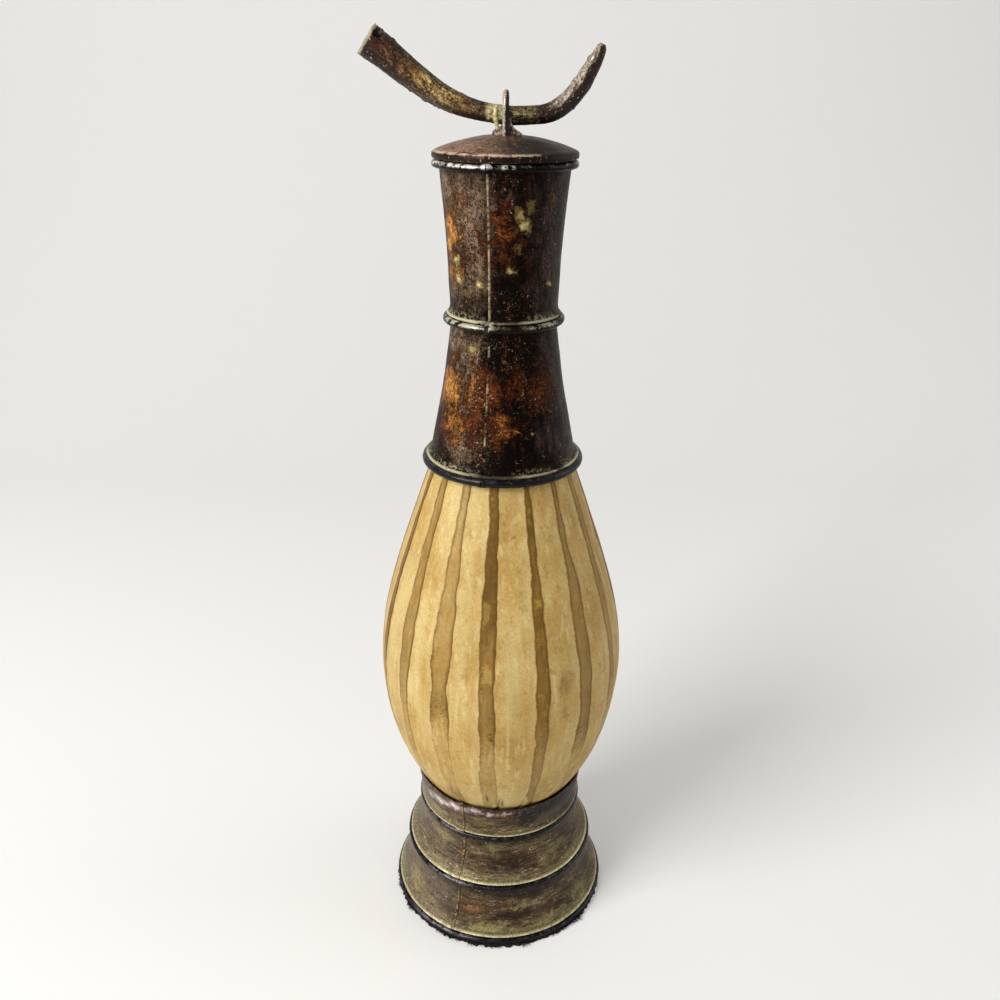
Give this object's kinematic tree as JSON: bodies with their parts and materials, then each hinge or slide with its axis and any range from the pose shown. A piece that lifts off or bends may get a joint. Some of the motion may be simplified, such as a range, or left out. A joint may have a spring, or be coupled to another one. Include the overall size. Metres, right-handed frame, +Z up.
{
  "type": "lidded decanter",
  "caption": "Tall lidded decanter: teardrop body in lapped parchment gores on a stepped tin foot, two-stage tin neck, and a lift-off domed lid with a twig handle.",
  "frame": {"origin": "on the table, under the middle of the felt that the foot stands on", "axes": "+Z up along the axis of the vessel; -Y is the front, where the seams show; +X is to the right, so the twig's thick cut end points to -X"},
  "size_m": [0.1564, 0.1564, 0.5582],
  "materials": {
    "felt": "black felt, fuzzy cut edge",
    "foot_tin": "patinated tin, brown-grey with an olive and cream bloom on the lips",
    "black_wire": "blackened wire, semi-gloss",
    "drawn_wire": "dark wire with rubbed pale highlights",
    "parchment": "translucent varnished parchment, golden cream with olive laps",
    "earthenware": "unglazed",
    "neck_tin": "dark umber patina with copper patches and cream specks, satin",
    "lid_tin": "copper-brown patina, satin",
    "twig": "painted twig, dark brown with tan and cream patches",
    "solder": "dull solder"
  },
  "bodies": {
    "vessel": {"felt_pad": "felt", "base_plate": "foot_tin", "foot_ring": "black_wire", "middle_ring": "black_wire", "collar_ring": "black_wire", "lower_skirt": "foot_tin", "middle_skirt": "foot_tin", "collar": "foot_tin", "body_core": "earthenware", "shoulder_ring": "black_wire", "waist_ring": "drawn_wire", "mouth_ring": "drawn_wire", "neck_cone": "neck_tin", "neck_tube": "neck_tin", "gore_01": "parchment", "gore_02": "parchment", "gore_03": "parchment", "gore_04": "parchment", "gore_05": "parchment", "gore_06": "parchment", "gore_07": "parchment", "gore_08": "parchment", "gore_09": "parchment", "gore_10": "parchment", "gore_11": "parchment", "gore_12": "parchment", "gore_13": "parchment", "gore_14": "parchment", "gore_15": "parchment", "gore_16": "parchment"},
    "lid": {"lid_sleeve": "lid_tin", "lid_dome": "lid_tin", "handle_loop": "drawn_wire", "solder_saddle": "solder", "twig": "twig"}
  },
  "joints": [
    {"name": "lid_lift", "type": "slide", "parent": "vessel", "child": "lid", "axis": [0, 0, 1], "range_m": [0, 0.12]}
  ]
}
